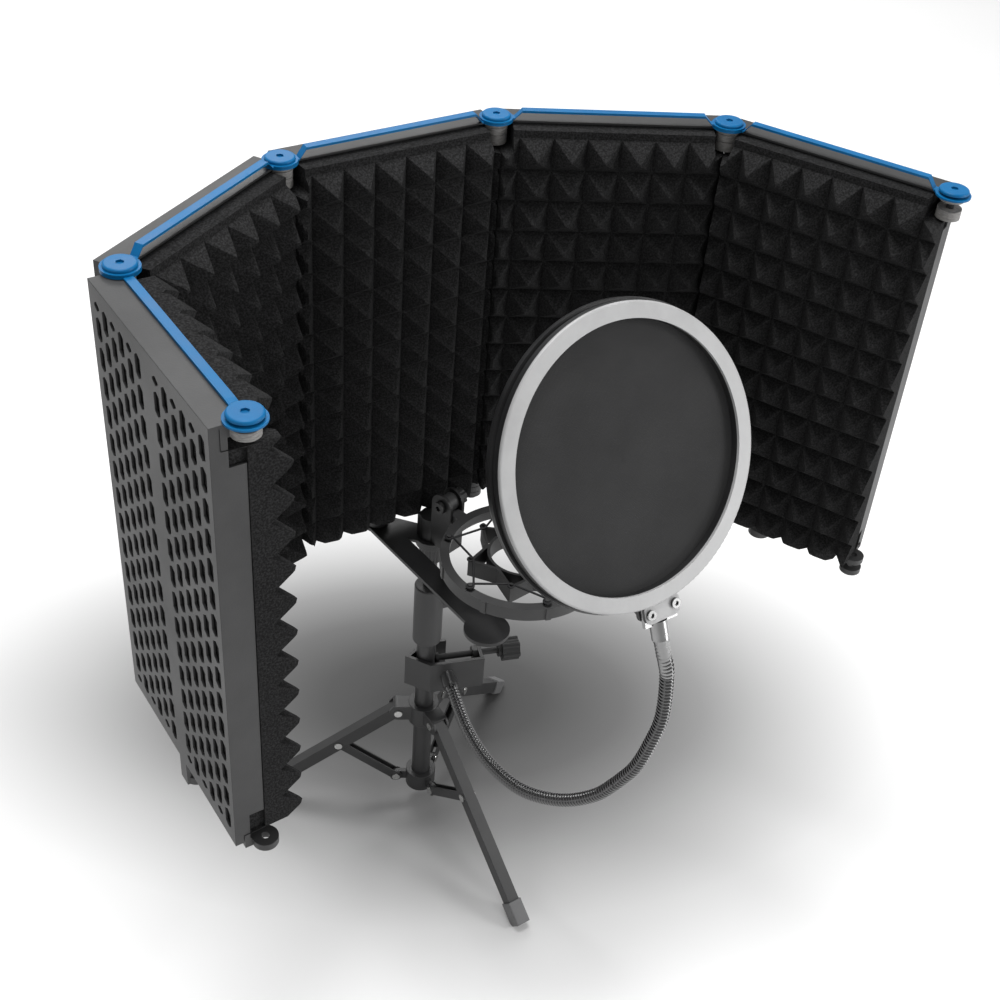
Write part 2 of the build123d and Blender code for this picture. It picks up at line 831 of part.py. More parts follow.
def make_clamp_screw():
    """The clamp's screw: a tip that presses the column and a knob with six lobes."""
    def across(distance):
        return Plane(
            origin=column + heading(clamp_azimuth) * distance + Vector(0, 0, clamp_screw_level),
            x_dir=heading(clamp_azimuth - 90),
            z_dir=heading(clamp_azimuth),
        )

    with BuildPart() as screw:
        with BuildSketch(across(tube_radius + 0.15)):
            Circle(4.5)
        extrude(amount=2.5)
        with BuildSketch(across(tube_radius + 1)):
            Circle(clamp_screw_radius)
        extrude(amount=clamp_knob_start - tube_radius)
        with BuildSketch(across(clamp_knob_start - 3)):
            Circle(6)
        extrude(amount=3.5)
        with BuildSketch(across(clamp_knob_start)):
            Circle(8.6)
            with PolarLocations(7.3, 6):
                Circle(2.9)
        extrude(amount=clamp_knob_length)
    return screw


def path_of(points, radii):
    """Straight runs joined by tangent arcs, one radius for each corner."""
    return FilletPolyline(*points, radius=list(radii))


def make_tube_along(points, radii, radius):
    with BuildPart() as tube:
        with BuildLine() as route:
            path_of(points, radii)
        with BuildSketch(Plane(origin=route.line @ 0, z_dir=route.line % 0)):
            Circle(radius)
        sweep()
    return tube


def short_of(start, end, gap):
    """The point on the way from start to end that stays short of the end."""
    way = end - start
    return end - way.normalized() * gap


def make_neck_lower():
    """The fixed stretch of the gooseneck, from the clamp to the bottom of its bend."""
    start = from_shield(neck_start)
    corners = [from_shield(point) for point in neck_low_points]
    stop = short_of(corners[-1], from_shield(neck_bend), neck_joint_gap)
    return make_tube_along([start, *corners, stop], neck_low_radii, neck_radius)


def make_neck_middle():
    """The stretch that rises in front of the stand; a ball starts it at its lower bend."""
    start = from_shield(neck_bend)
    corners = [from_shield(point) for point in neck_high_points]
    stop = short_of(corners[-1], from_shield(neck_tilt), neck_joint_gap)
    with BuildPart() as tube:
        with BuildLine() as route:
            path_of([start, *corners, stop], neck_high_radii)
        with BuildSketch(Plane(origin=route.line @ 0, z_dir=route.line % 0)):
            Circle(neck_radius)
        sweep()
        with Locations(start):
            Sphere(neck_radius)
    return tube


def filter_plane(depth):
    """Plane of the pop filter: x to the right, y up, its normal towards the singer."""
    normal = Vector(*filter_normal).normalized()
    across = Vector(-normal.Y, normal.X, 0).normalized()
    return Plane(origin=from_shield(filter_centre) + normal * depth, x_dir=across, z_dir=normal)


def filter_axis():
    plane = filter_plane(0)
    return Axis(plane.origin, plane.z_dir)


def make_neck_upper():
    """The top of the gooseneck: ball, short tube, ferrule and the flat plate in the filter."""
    middle = filter_plane((plate_front + plate_back) / 2)
    low = middle.from_local_coords((ferrule_x, ferrule_bottom, 0))
    start = from_shield(neck_tilt)
    run = low - start
    ferrule = Plane(origin=low, x_dir=middle.x_dir, z_dir=middle.y_dir)
    with BuildPart() as upper:
        with Locations(start):
            Sphere(neck_radius)
        with BuildSketch(Plane(origin=start, z_dir=run)):
            Circle(neck_radius)
        extrude(amount=run.length + 3)
        with BuildSketch(ferrule):
            Circle(ferrule_radius)
        extrude(amount=14.0)
        with BuildSketch(filter_plane(plate_back)):
            box_sketch(
                tab_centre - tab_width / 2 + 1, tab_centre + tab_width / 2 - 1, tab_bottom - 3, -101.0
            )
            with Locations(*filter_screws_at):
                Circle(2.05, mode=Mode.SUBTRACT)
        extrude(amount=plate_front - plate_back)
    return upper


def tab_sketch(top):
    with Locations((tab_centre, (tab_bottom + top) / 2)):
        RectangleRounded(tab_width, top - tab_bottom, radius=tab_rounding)


def make_front_ring():
    """The light front ring with its rim and the front half of the tab."""
    with BuildPart() as ring:
        with BuildSketch(filter_plane(front_ring_back)):
            Circle(filter_radius)
        extrude(amount=-front_ring_back)
        fillet(ring.edges().group_by(filter_axis())[-1], radius=1.2)
        with BuildSketch(filter_plane(-5.0)):
            tab_sketch(-97.0)
        extrude(amount=3.2)
        with BuildSketch(filter_plane(front_ring_back)):
            Circle(filter_inner)
        extrude(amount=-front_ring_back + 1, mode=Mode.SUBTRACT)
        with BuildSketch(filter_plane(front_ring_back)):
            tab_sketch(-100.6)
        extrude(amount=2.5, mode=Mode.SUBTRACT)
        with BuildSketch(filter_plane(front_ring_back)):
            with Locations(*filter_screws_at):
                Circle(2.05)
        extrude(amount=10, mode=Mode.SUBTRACT)
    return ring


def make_rear_ring():
    with BuildPart() as ring:
        with BuildSketch(filter_plane(rear_ring_back)):
            Circle(filter_radius + rear_ring_extra)
        extrude(amount=rear_ring_front - rear_ring_back)
        fillet(ring.edges().group_by(filter_axis())[0], radius=4.5)
        with BuildSketch(filter_plane(-12.0)):
            tab_sketch(-95.0)
        extrude(amount=3.5)
        with BuildSketch(filter_plane(rear_ring_back)):
            Circle(filter_inner)
        extrude(amount=rear_ring_front - rear_ring_back, mode=Mode.SUBTRACT)
        with BuildSketch(filter_plane(rear_ring_back)):
            with Locations(*filter_screws_at):
                Circle(2.05)
        extrude(amount=10, mode=Mode.SUBTRACT)
    return ring


def make_filter_mesh():
    with BuildPart() as mesh:
        with BuildSketch(filter_plane(mesh_back)):
            Circle(mesh_radius)
        extrude(amount=mesh_front - mesh_back)
    return mesh


def make_filter_screws():
    with BuildPart() as screws:
        with BuildSketch(filter_plane(-13.0)):
            with Locations(*filter_screws_at):
                Circle(2.0)
        extrude(amount=12.0)
        with BuildSketch(filter_plane(-1.7)):
            with Locations(*filter_screws_at):
                Circle(3.6)
        extrude(amount=2.0)
        with BuildSketch(filter_plane(0.3)):
            with Locations(*filter_screws_at):
                RegularPolygon(radius=1.7, side_count=6)
        extrude(amount=-1.2, mode=Mode.SUBTRACT)
        with BuildSketch(filter_plane(-12.1)):
            with Locations(*filter_screws_at):
                RegularPolygon(radius=3.4, side_count=6)
        extrude(amount=-2.4)
    return screws


def mount_plan(height):
    """Horizontal plane on the column's axis: x along the mount's arm."""
    return Plane(origin=(stand_x, stand_y, height), x_dir=heading(mount_azimuth), z_dir=(0, 0, 1))


def tilt_plane():
    """Upright plane through the tilt screw: x along the arm, y up."""
    origin = column + heading(mount_azimuth) * tilt_reach + Vector(0, 0, tilt_level)
    return upright_plane(mount_azimuth, origin)


def make_mount_base():
    """The socket on the column's thread, with the two cheeks that hold the ring's arm."""
    bottom = eye_level + bracket_top + 0.1
    with BuildPart() as base:
        with BuildSketch(mount_plan(bottom)):
            Circle(9.5)
            box_sketch(mount_block_back, mount_block_front, -mount_width / 2, mount_width / 2)
        extrude(amount=mount_block_top - bottom)
        with BuildSketch(tilt_plane()):
            Circle(tilt_plate_radius)
            box_sketch(-tilt_plate_radius, tilt_plate_radius, mount_block_top - tilt_level - 1, 0)
        extrude(amount=mount_width / 2, both=True)
        with BuildSketch(mount_plan(mount_block_top)):
            box_sketch(-30, 40, -mount_gap / 2, mount_gap / 2)
        extrude(amount=60, mode=Mode.SUBTRACT)
        with BuildSketch(tilt_plane()):
            Circle(2.55)
        extrude(amount=20, both=True, mode=Mode.SUBTRACT)
        with BuildSketch(mount_plan(bottom)):
            Circle(thread_radius + 0.05)
        extrude(amount=thread_top + 1 - bottom, mode=Mode.SUBTRACT)
    return base


def make_tilt_screw():
    side = tilt_plane()
    half = mount_width / 2
    with BuildPart() as screw:
        with BuildSketch(level(side, -half - 3)):
            Circle(2.5)
        extrude(amount=2 * half + 6)
        with BuildSketch(level(side, half + 0.2)):
            Circle(5.0)
        extrude(amount=3.5)
        with BuildSketch(level(side, half + 3.7)):
            RegularPolygon(radius=2.4, side_count=6)
        extrude(amount=-1.5, mode=Mode.SUBTRACT)
        with BuildSketch(level(side, -half - 0.2)):
            Circle(6.5)
            with PolarLocations(7.2, 6):
                Circle(1.6, mode=Mode.SUBTRACT)
        extrude(amount=-7.0)
    return screw


def ring_plan(height):
    """Horizontal plane on the shock mount's axis: x along the mount's arm."""
    origin = column + heading(mount_azimuth) * ring_reach + Vector(0, 0, height)
    return Plane(origin=origin, x_dir=heading(mount_azimuth), z_dir=(0, 0, 1))


def make_mount_ring():
    """The outer ring with its arm, its inner ledge and the pegs for the elastic cord."""
    side = tilt_plane()
    back = ring_reach - tilt_reach
    with BuildPart() as ring:
        with BuildSketch(side):
            Circle(7.0)
            box_sketch(0, back - ring_inner - 1, -12.5, -4.5)
        extrude(amount=mount_gap / 2 - 0.2, both=True)
        with BuildSketch(ring_plan(ring_bottom)):
            Circle(ring_radius)
            with PolarLocations(ring_radius - 0.5, 8, start_angle=15):
                Rectangle(3.0, 4.0)
            Circle(ring_inner, mode=Mode.SUBTRACT)
        extrude(amount=ring_top - ring_bottom)
        with BuildSketch(ring_plan(ring_top - 3)):
            Circle(ring_inner + 1)
            Circle(ring_inner - 3.0, mode=Mode.SUBTRACT)
        extrude(amount=3.0)
        with BuildSketch(ring_plan(ring_top - 0.5)):
            with PolarLocations(ring_peg_reach, cradle_lobes, start_angle=180 / cradle_lobes):
                Circle(ring_peg_radius)
        extrude(amount=4.5)
        with BuildSketch(side):
            Circle(2.55)
        extrude(amount=20, both=True, mode=Mode.SUBTRACT)
    return ring


def make_mount_cradle():
    """The inner cradle: a round clip for the microphone inside a band of six lobes."""
    step = 180 / cradle_lobes
    valley = cradle_bore + cradle_wall
    band = []
    for number in range(2 * cradle_lobes):
        radius = valley + 1.5 if number % 2 else lobe_radius
        angle = radians(step * number)
        band.append((radius * cos(angle), radius * sin(angle)))
    with BuildPart() as cradle:
        with BuildSketch(ring_plan(cradle_bottom)):
            Polygon(*band, align=None)
            offset(amount=-cradle_wall, kind=Kind.INTERSECTION, mode=Mode.SUBTRACT)
            Circle(valley)
            Circle(cradle_bore, mode=Mode.SUBTRACT)
        extrude(amount=cradle_top - cradle_bottom)
        with BuildSketch(ring_plan(cradle_top - 0.5)):
            with PolarLocations(cradle_peg_reach, cradle_lobes):
                Circle(cradle_peg_radius)
        extrude(amount=3.7)
    return cradle


def make_mount_elastics():
    """The elastic cord: straight strands between the lobes' tips and the ring's pegs."""
    step = 360 / cradle_lobes
    plane = ring_plan(cradle_top + cord_radius + 0.15)
    tip_reach = cradle_peg_reach + cradle_peg_radius + cord_radius + 0.1
    peg_reach = ring_peg_reach - ring_peg_radius - cord_radius - 0.1
    with BuildPart() as strands:
        for number in range(cradle_lobes):
            tip_angle = radians(step * number)
            tip = plane.from_local_coords(
                (tip_reach * cos(tip_angle), tip_reach * sin(tip_angle), 0)
            )
            for turn in (-0.5, 0.5):
                peg_angle = radians(step * (number + turn))
                peg = plane.from_local_coords(
                    (peg_reach * cos(peg_angle), peg_reach * sin(peg_angle), 0)
                )
                run = peg - tip
                with BuildSketch(Plane(origin=tip, z_dir=run)):
                    Circle(cord_radius)
                extrude(amount=run.length)
    return strands


def write(part, name):
    part.part.label = name
    export_step(part.part, f"parts/{name}.step")


os.makedirs("parts", exist_ok=True)

for number in range(1, panel_count + 1):
    write(make_shell(number), f"panel_{number}_shell")
    write(make_foam(number), f"panel_{number}_foam")
    write(make_link_bar(number), f"link_bar_{number}")
    write(make_hinge_screws(number), f"hinge_screws_{number}")

write(make_support_bar(), "support_bar")
write(make_support_bolt(), "support_bolt")
write(make_lower_tube(), "lower_tube")
write(make_upper_tube(), "upper_tube")
write(make_thread_adaptor(), "thread_adaptor")
write(make_height_lock_collar(), "height_lock_collar")
write(make_height_lock_screw(), "height_lock_screw")
write(make_end_collar(), "end_collar")
write(make_rivets(collar_level, brace_width), "collar_rivets")
write(make_leg_hub(), "leg_hub")
write(make_rivets(hub_level, hub_cheek_gap + 2 * hub_cheek), "hub_rivets")

for number, azimuth in enumerate(leg_azimuths, start=1):
    write(make_leg(azimuth), f"leg_{number}")
    write(make_foot_cap(azimuth), f"foot_cap_{number}")
    write(make_leg_rivet(azimuth), f"leg_rivet_{number}")
    write(make_brace(azimuth), f"brace_{number}")

write(make_filter_clamp(), "filter_clamp")
write(make_clamp_screw(), "clamp_screw")
write(make_neck_lower(), "gooseneck_lower")
write(make_neck_middle(), "gooseneck_middle")
write(make_neck_upper(), "gooseneck_upper")
write(make_front_ring(), "filter_front_ring")
write(make_rear_ring(), "filter_rear_ring")
write(make_filter_mesh(), "filter_mesh")
write(make_filter_screws(), "filter_screws")
write(make_mount_base(), "mount_base")
write(make_mount_ring(), "mount_ring")
write(make_mount_cradle(), "mount_cradle")
write(make_mount_elastics(), "mount_elastics")
write(make_tilt_screw(), "tilt_screw")
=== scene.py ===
"""Looks of the microphone isolation shield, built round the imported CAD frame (metres)."""

import json
import math

import bmesh
import bpy
from mathutils import Matrix, Vector, noise


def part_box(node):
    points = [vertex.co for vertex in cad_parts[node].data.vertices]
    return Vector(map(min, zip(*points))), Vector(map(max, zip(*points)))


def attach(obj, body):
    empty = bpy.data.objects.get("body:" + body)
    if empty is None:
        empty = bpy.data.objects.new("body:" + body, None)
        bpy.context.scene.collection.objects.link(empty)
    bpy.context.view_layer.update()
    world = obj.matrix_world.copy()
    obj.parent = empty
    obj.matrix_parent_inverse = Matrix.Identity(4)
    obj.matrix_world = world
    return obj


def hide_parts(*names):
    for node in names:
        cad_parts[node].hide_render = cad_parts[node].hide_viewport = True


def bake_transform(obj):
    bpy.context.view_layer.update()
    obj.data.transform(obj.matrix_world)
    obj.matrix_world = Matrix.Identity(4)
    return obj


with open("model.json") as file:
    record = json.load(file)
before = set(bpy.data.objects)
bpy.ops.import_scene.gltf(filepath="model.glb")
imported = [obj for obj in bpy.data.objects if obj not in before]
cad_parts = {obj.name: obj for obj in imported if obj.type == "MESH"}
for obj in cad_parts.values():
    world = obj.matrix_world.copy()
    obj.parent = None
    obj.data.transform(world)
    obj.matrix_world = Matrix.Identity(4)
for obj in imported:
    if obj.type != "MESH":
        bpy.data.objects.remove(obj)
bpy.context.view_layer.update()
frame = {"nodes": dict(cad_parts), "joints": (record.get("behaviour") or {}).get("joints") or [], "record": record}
bpy.context.scene.view_settings.view_transform = "Standard"     # keeps the dark parts' contrast

MM = 0.001

# ------------------------------------------------------------------ places read from the frame
joints = {joint["name"]: joint for joint in frame["joints"]}
mounts = {mount["name"]: mount for mount in frame["record"]["mounts"]}


def joint_place(name):
    return Vector(joints[name]["pos_m"])


eye_level = joint_place("panel_2_fold").z
hinge_lines = [
    Vector(mounts["left_end_hinge"]["pos_m"]),
    joint_place("panel_1_fold"),
    joint_place("panel_2_fold"),
    joint_place("panel_4_fold"),
    joint_place("panel_5_fold"),
    Vector(mounts["right_end_hinge"]["pos_m"]),
]
for line in hinge_lines:
    line.z = eye_level
shield_origin = (hinge_lines[2] + hinge_lines[3]) / 2
panel_bodies = ("panel_1_body", "panel_2_body", "shield", "panel_4_body", "panel_5_body")
largest_bends = (0, 59.4, 32.4, 28.7, 37.1, 0)      # degrees, at the six hinge lines


def from_shield(x, y, z):
    """A point given in millimetres from the shield's origin."""
    return shield_origin + Vector((x, y, z)) * MM


filter_centre = from_shield(56, -217, 175)
filter_normal = Vector((0.042, -0.909, 0.415)).normalized()
filter_across = Vector((-filter_normal.y, filter_normal.x, 0)).normalized()
filter_up = filter_normal.cross(filter_across)


# ------------------------------------------------------------------ materials
edge_rounding = 0.7 * MM
mask_blur = 0.0001               # half the width of the change between two paints
knuckle_reach = 8.2 * MM         # from a hinge line
knuckle_bottom = 293 * MM        # above eye level
screw_disc_bottom = 310.9 * MM   # above eye level
silver_depth = 2.3 * MM          # how far the ring's silver reaches back from its face


def new_material(name):
    material = bpy.data.materials.new(name)
    material.use_nodes = True
    shader = material.node_tree.nodes["Principled BSDF"]
    return material, material.node_tree.nodes, material.node_tree.links, shader


def object_coordinates(nodes, links, scale=(1, 1, 1)):
    place = nodes.new("ShaderNodeTexCoord")
    mapping = nodes.new("ShaderNodeMapping")
    mapping.inputs["Scale"].default_value = scale
    links.new(place.outputs["Object"], mapping.inputs["Vector"])
    return mapping.outputs["Vector"]


def noise_texture(nodes, links, vector, scale, detail=4.0, roughness=0.55):
    texture = nodes.new("ShaderNodeTexNoise")
    texture.inputs["Scale"].default_value = scale
    texture.inputs["Detail"].default_value = detail
    texture.inputs["Roughness"].default_value = roughness
    links.new(vector, texture.inputs["Vector"])
    return texture.outputs["Fac"]


def color_between(nodes, links, factor, low, high, start=0.3, end=0.7):
    ramp = nodes.new("ShaderNodeValToRGB")
    ramp.color_ramp.elements[0].position = start
    ramp.color_ramp.elements[1].position = end
    ramp.color_ramp.elements[0].color = (*low, 1)
    ramp.color_ramp.elements[1].color = (*high, 1)
    links.new(factor, ramp.inputs["Fac"])
    return ramp.outputs["Color"]


def value_between(nodes, links, factor, low, high):
    spread = nodes.new("ShaderNodeMapRange")
    spread.inputs["From Min"].default_value = 0.3
    spread.inputs["From Max"].default_value = 0.7
    spread.inputs["To Min"].default_value = low
    spread.inputs["To Max"].default_value = high
    links.new(factor, spread.inputs["Value"])
    return spread.outputs["Result"]


def bump(nodes, links, height, strength, distance, normal=None):
    node = nodes.new("ShaderNodeBump")
    node.inputs["Strength"].default_value = strength
    node.inputs["Distance"].default_value = distance
    links.new(height, node.inputs["Height"])
    if normal is not None:
        links.new(normal, node.inputs["Normal"])
    return node.outputs["Normal"]


def coated_steel(name, dark, light, rough=(0.42, 0.6), grain=900, grain_depth=0.00012, coat=0.0):
    """Coated steel: fine orange peel, faint mottling, a slow change of gloss and rounded edges."""
    material, nodes, links, shader = new_material(name)
    place = object_coordinates(nodes, links)
    mottle = noise_texture(nodes, links, place, 38, 5)
    slow = noise_texture(nodes, links, place, 7, 3)
    fine = noise_texture(nodes, links, place, grain, 2)
    links.new(color_between(nodes, links, mottle, dark, light), shader.inputs["Base Color"])
    links.new(value_between(nodes, links, slow, *rough), shader.inputs["Roughness"])
    edges = nodes.new("ShaderNodeBevel")
    edges.samples = 6
    edges.inputs["Radius"].default_value = edge_rounding
    relief = bump(nodes, links, fine, 0.35, grain_depth, edges.outputs["Normal"])
    links.new(relief, shader.inputs["Normal"])
    shader.inputs["Specular IOR Level"].default_value = 0.45
    shader.inputs["Coat Weight"].default_value = coat
    shader.inputs["Coat Roughness"].default_value = 0.08
    return material


def near_lines(nodes, links, places, reach, above):
    """1 close to any of some upright lines and above a height, and 0 elsewhere."""
    flat = nodes.new("ShaderNodeMapping")
    flat.inputs["Scale"].default_value = (1, 1, 0)
    place = object_coordinates(nodes, links)
    links.new(place, flat.inputs["Vector"])
    nearest = None
    for here in places:
        gap = nodes.new("ShaderNodeVectorMath")
        gap.operation = "DISTANCE"
        gap.inputs[1].default_value = (here.x, here.y, 0)
        links.new(flat.outputs["Vector"], gap.inputs[0])
        if nearest is None:
            nearest = gap.outputs["Value"]
            continue
        least = nodes.new("ShaderNodeMath")
        least.operation = "MINIMUM"
        links.new(nearest, least.inputs[0])
        links.new(gap.outputs["Value"], least.inputs[1])
        nearest = least.outputs["Value"]
    close = nodes.new("ShaderNodeMath")
    close.operation = "LESS_THAN"
    close.inputs[1].default_value = reach
    links.new(nearest, close.inputs[0])
    both = nodes.new("ShaderNodeMath")
    both.operation = "MULTIPLY"
    links.new(close.outputs["Value"], both.inputs[0])
    links.new(side_of_plane(nodes, links, (0, 0, 1), above), both.inputs[1])
    return both.outputs["Value"]


def shell_material(name):
    """The coated panels, with bare turned metal on the hinge knuckles."""
    material = coated_steel(name, (0.024, 0.024, 0.0245), (0.034, 0.034, 0.0345))
    nodes = material.node_tree.nodes
    links = material.node_tree.links
    shader = nodes["Principled BSDF"]
    coat = shader.inputs["Base Color"].links[0].from_socket
    turned = noise_texture(nodes, links, object_coordinates(nodes, links, scale=(1, 1, 9)), 300, 3)
    bare = color_between(nodes, links, turned, (0.10, 0.10, 0.098), (0.26, 0.25, 0.24))
    knuckle = near_lines(nodes, links, hinge_lines, knuckle_reach, eye_level + knuckle_bottom)
    links.new(two_colors(nodes, links, knuckle, coat, bare), shader.inputs["Base Color"])
    return material


def bright_metal(name, color, rough=(0.18, 0.34)):
    """Bare or plated metal with faint turning marks."""
    material, nodes, links, shader = new_material(name)
    place = object_coordinates(nodes, links, scale=(1, 1, 6))
    marks = noise_texture(nodes, links, place, 420, 3)
    dull = noise_texture(nodes, links, object_coordinates(nodes, links), 60, 3)
    darker = tuple(channel * 0.8 for channel in color)
    links.new(color_between(nodes, links, dull, darker, color), shader.inputs["Base Color"])
    links.new(value_between(nodes, links, dull, *rough), shader.inputs["Roughness"])
    links.new(bump(nodes, links, marks, 0.2, 0.00008), shader.inputs["Normal"])
    shader.inputs["Metallic"].default_value = 1.0
    return material


def side_of_plane(nodes, links, normal, distance):
    """0 behind a plane and 1 in front of it, in the object's own coordinates."""
    along = nodes.new("ShaderNodeVectorMath")
    along.operation = "DOT_PRODUCT"
    along.inputs[1].default_value = normal
    links.new(object_coordinates(nodes, links), along.inputs[0])
    step = nodes.new("ShaderNodeMapRange")
    step.inputs["From Min"].default_value = distance - mask_blur
    step.inputs["From Max"].default_value = distance + mask_blur
    links.new(along.outputs["Value"], step.inputs["Value"])
    return step.outputs["Result"]


def two_colors(nodes, links, factor, behind, ahead):
    mix = nodes.new("ShaderNodeMix")
    mix.data_type = "RGBA"
    links.new(factor, mix.inputs["Factor"])
    links.new(behind, mix.inputs["A"])
    links.new(ahead, mix.inputs["B"])
    return mix.outputs["Result"]


def blue_paint(name, dark_below=None):
    """Blue lacquer; a screw is bare dark steel below its painted disc."""
    material, nodes, links, shader = new_material(name)
    place = object_coordinates(nodes, links)
    slow = noise_texture(nodes, links, place, 55, 4)
    fine = noise_texture(nodes, links, place, 1400, 2)
    colour = color_between(nodes, links, slow, (0.002, 0.095, 0.245), (0.004, 0.120, 0.295))
    if dark_below is not None:
        steel = color_between(nodes, links, slow, (0.02, 0.02, 0.021), (0.03, 0.03, 0.031))
        above = side_of_plane(nodes, links, (0, 0, 1), dark_below)
        colour = two_colors(nodes, links, above, steel, colour)
    links.new(colour, shader.inputs["Base Color"])
    links.new(value_between(nodes, links, slow, 0.3, 0.42), shader.inputs["Roughness"])
    links.new(bump(nodes, links, fine, 0.2, 0.00005), shader.inputs["Normal"])
    shader.inputs["Specular IOR Level"].default_value = 0.15
    return material


def foam_material(name):
    """Open-cell acoustic foam: a field of tiny pores, very matt."""
    material, nodes, links, shader = new_material(name)
    place = object_coordinates(nodes, links)
    pores = nodes.new("ShaderNodeTexVoronoi")
    pores.inputs["Scale"].default_value = 1150
    pores.inputs["Randomness"].default_value = 1.0
    links.new(place, pores.inputs["Vector"])
    cells = noise_texture(nodes, links, place, 800, 2, 0.6)
    slow = noise_texture(nodes, links, place, 18, 3)
    grain = color_between(nodes, links, cells, (0.012, 0.012, 0.0121), (0.040, 0.040, 0.041), 0.4, 0.8)
    shade = nodes.new("ShaderNodeMix")
    shade.data_type = "RGBA"
    shade.blend_type = "MULTIPLY"
    shade.inputs["Factor"].default_value = 0.6
    links.new(grain, shade.inputs["A"])
    tone = color_between(nodes, links, slow, (0.75, 0.75, 0.75), (1, 1, 1))
    links.new(tone, shade.inputs["B"])
    links.new(shade.outputs["Result"], shader.inputs["Base Color"])
    first = bump(nodes, links, cells, 0.3, 0.0003)
    second = bump(nodes, links, pores.outputs["Distance"], 0.25, 0.0002, first)
    links.new(second, shader.inputs["Normal"])
    shader.inputs["Roughness"].default_value = 1.0
    shader.inputs["Specular IOR Level"].default_value = 0.06
    return material


def moulded_plastic(name, dark, light, rough=(0.42, 0.58), grain=700):
    """Plastic or rubber with a fine grain and a slow change of tone and gloss."""
    material, nodes, links, shader = new_material(name)
    place = object_coordinates(nodes, links)
    slow = noise_texture(nodes, links, place, 24, 4)
    fine = noise_texture(nodes, links, place, grain, 3)
    links.new(color_between(nodes, links, slow, dark, light), shader.inputs["Base Color"])
    links.new(value_between(nodes, links, slow, *rough), shader.inputs["Roughness"])
    links.new(bump(nodes, links, fine, 0.3, 0.0001), shader.inputs["Normal"])
    shader.inputs["Specular IOR Level"].default_value = 0.4
    return material


def faced_plastic(name, normal, distance):
    """A black moulding with a satin silver face in front of a plane."""
    material, nodes, links, shader = new_material(name)
    place = object_coordinates(nodes, links)
    slow = noise_texture(nodes, links, place, 30, 5)
    fine = noise_texture(nodes, links, place, 600, 3)
    black = color_between(nodes, links, slow, (0.012, 0.012, 0.0125), (0.020, 0.020, 0.0205))
    silver = color_between(nodes, links, slow, (0.31, 0.31, 0.312), (0.38, 0.38, 0.382))
    ahead = side_of_plane(nodes, links, normal, distance)
    links.new(two_colors(nodes, links, ahead, black, silver), shader.inputs["Base Color"])
    links.new(value_between(nodes, links, slow, 0.32, 0.44), shader.inputs["Roughness"])
    links.new(bump(nodes, links, fine, 0.25, 0.0001), shader.inputs["Normal"])
    return material


def screen_material(name):
    """Two stretched layers of fine nylon: a square weave and a faint moire of cloudy tones."""
    material, nodes, links, shader = new_material(name)
    place = object_coordinates(nodes, links)
    heights = []
    for direction in ("X", "Z"):
        wave = nodes.new("ShaderNodeTexWave")
        wave.bands_direction = direction
        wave.inputs["Scale"].default_value = 330
        wave.inputs["Distortion"].default_value = 0.6
        links.new(place, wave.inputs["Vector"])
        heights.append(wave.outputs["Fac"])
    weave = nodes.new("ShaderNodeMath")
    weave.operation = "MAXIMUM"
    links.new(heights[0], weave.inputs[0])
    links.new(heights[1], weave.inputs[1])
    cloud = noise_texture(nodes, links, place, 16, 5)
    colour = color_between(nodes, links, cloud, (0.028, 0.028, 0.0285), (0.037, 0.037, 0.0375))
    links.new(colour, shader.inputs["Base Color"])
    links.new(bump(nodes, links, weave.outputs["Value"], 0.35, 0.0002), shader.inputs["Normal"])
    shader.inputs["Roughness"].default_value = 0.85
    shader.inputs["Specular IOR Level"].default_value = 0.12
    return material


shell_steel = shell_material("shell_steel")
stand_steel = coated_steel("stand_steel", (0.018, 0.018, 0.0185), (0.026, 0.026, 0.0265), (0.3, 0.45))
bracket_steel = coated_steel("bracket_steel", (0.007, 0.007, 0.0075), (0.012, 0.012, 0.0125), (0.35, 0.5))
bright_steel = bright_metal("bright_steel", (0.62, 0.62, 0.61))
ferrule_steel = bright_metal("ferrule_steel", (0.30, 0.30, 0.30))
blue = blue_paint("link_blue")
screw_blue = blue_paint("screw_blue", eye_level + screw_disc_bottom)
foam = foam_material("foam")
black_plastic = moulded_plastic("black_plastic", (0.010, 0.010, 0.0103), (0.017, 0.017, 0.0173))
dark_plastic = moulded_plastic("dark_plastic", (0.030, 0.030, 0.0305), (0.042, 0.042, 0.0425))
grey_plastic = moulded_plastic("grey_plastic", (0.10, 0.10, 0.102), (0.14, 0.14, 0.142))
silver_start = filter_normal.dot(filter_centre) - silver_depth
silver_plastic = faced_plastic("silver_plastic", filter_normal, silver_start)
rear_plastic = moulded_plastic("rear_plastic", (0.012, 0.012, 0.0125), (0.020, 0.020, 0.0205), (0.28, 0.4))
screen = screen_material("screen")
neck_steel = coated_steel(
    "neck_steel", (0.008, 0.008, 0.0085), (0.014, 0.014, 0.0145), (0.12, 0.2),
    grain=1500, grain_depth=0.00003, coat=1.0,
)
elastic = moulded_plastic("elastic", (0.008, 0.008, 0.009), (0.014, 0.014, 0.015), (0.6, 0.8), 1600)


def paint(node_name, material):
    node = frame["nodes"][node_name]
    node.data.materials.clear()
    node.data.materials.append(material)


